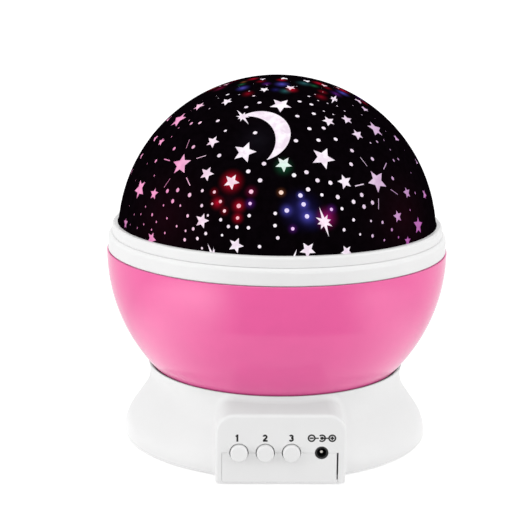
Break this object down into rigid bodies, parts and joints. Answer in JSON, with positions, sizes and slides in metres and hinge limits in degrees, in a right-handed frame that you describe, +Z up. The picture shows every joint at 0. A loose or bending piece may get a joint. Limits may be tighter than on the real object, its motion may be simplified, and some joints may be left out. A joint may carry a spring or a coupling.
{
  "type": "star night light projector",
  "caption": "Domed night light: a lit dome with a star print, carried by a bowl that turns on a flared base with push buttons, a power inlet and a battery bay.",
  "frame": {"origin": "middle of the resting face, on the vertical axis of the dome, at the underside of the rubber feet", "axes": "+Z is up along the turning axis, -Y points out of the control panel, +X is to the right for someone who looks at the panel"},
  "size_m": [0.131, 0.1311, 0.1397],
  "materials": {
    "white_plastic": "smooth gloss",
    "pink_plastic": "smooth gloss",
    "dome_plastic": "frosted, lets light through",
    "dome_print": "opaque black print, gloss",
    "foot_rubber": "matt",
    "screw_steel": "zinc plated",
    "cell_jacket": "printed sleeve over a metal can",
    "contact_metal": "nickel plated",
    "board_laminate": "solder mask",
    "lamp_board_laminate": "white solder mask",
    "switch_body": "satin",
    "plunger_plastic": "satin",
    "pin_metal": "nickel plated",
    "motor_can": "pressed sheet",
    "gear_plastic": "natural acetal",
    "post_plastic": "satin",
    "white_lens": "clear epoxy",
    "red_lens": "tinted epoxy",
    "green_lens": "tinted epoxy",
    "blue_lens": "tinted epoxy",
    "cable_jacket": "satin"
  },
  "bodies": {
    "base": {"base_housing": "white_plastic", "bottom_cover": "white_plastic", "rubber_feet": "foot_rubber", "housing_screws": "screw_steel", "batteries": "cell_jacket", "battery_contacts": "contact_metal", "battery_springs": "contact_metal", "control_board": "board_laminate", "board_screws": "screw_steel", "push_switches": "switch_body", "power_inlet": "switch_body", "inlet_pin": "pin_metal", "gear_motor": "motor_can", "motor_screws": "screw_steel", "lamp_post": "post_plastic", "post_screws": "screw_steel", "hub_retainer": "gear_plastic", "led_holder": "post_plastic", "lamp_board": "lamp_board_laminate", "white_led": "white_lens", "red_led": "red_lens", "green_led": "green_lens", "blue_led": "blue_lens", "lamp_cable": "cable_jacket", "battery_cable": "cable_jacket", "motor_cable": "cable_jacket"},
    "pinion": {"motor_shaft": "motor_can", "drive_pinion": "gear_plastic"},
    "globe": {"bowl": "pink_plastic", "bowl_ring": "white_plastic", "turntable_gear": "gear_plastic", "turntable_screws": "screw_steel", "hub_bush": "gear_plastic"},
    "dome": {"dome_ring": "white_plastic", "dome_shell": "dome_plastic", "star_print": "dome_print"},
    "lamp_button": {"lamp_button": "white_plastic", "lamp_switch_plunger": "plunger_plastic"},
    "colour_button": {"colour_button": "white_plastic", "colour_switch_plunger": "plunger_plastic"},
    "rotation_button": {"rotation_button": "white_plastic", "rotation_switch_plunger": "plunger_plastic"},
    "battery_door": {"battery_door": "white_plastic", "door_screws": "screw_steel"}
  },
  "joints": [
    {"name": "globe_spin", "type": "hinge", "parent": "base", "child": "globe", "pos_m": [0, 0, 0], "axis": [0, 0, 1], "continuous": true},
    {"name": "pinion_spin", "type": "hinge", "parent": "base", "child": "pinion", "pos_m": [0, 0.0361, 0], "axis": [0, 0, 1], "continuous": true},
    {"name": "dome_lift", "type": "slide", "parent": "globe", "child": "dome", "axis": [0, 0, 1], "range_m": [0, 0.08]},
    {"name": "lamp_press", "type": "slide", "parent": "base", "child": "lamp_button", "axis": [0, 1, 0], "range_m": [0, 0.0015], "stiffness_N_per_m": 500, "springref_m": -0.001},
    {"name": "colour_press", "type": "slide", "parent": "base", "child": "colour_button", "axis": [0, 1, 0], "range_m": [0, 0.0015], "stiffness_N_per_m": 500, "springref_m": -0.001},
    {"name": "rotation_press", "type": "slide", "parent": "base", "child": "rotation_button", "axis": [0, 1, 0], "range_m": [0, 0.0015], "stiffness_N_per_m": 500, "springref_m": -0.001},
    {"name": "battery_door_hinge", "type": "hinge", "parent": "base", "child": "battery_door", "pos_m": [0, -0.02735, 0.0023], "axis": [-1, 0, 0], "range_deg": [0, 80]}
  ],
  "couplings": [
    {"joint": "pinion_spin", "follows": "globe_spin", "ratio": -5}
  ]
}
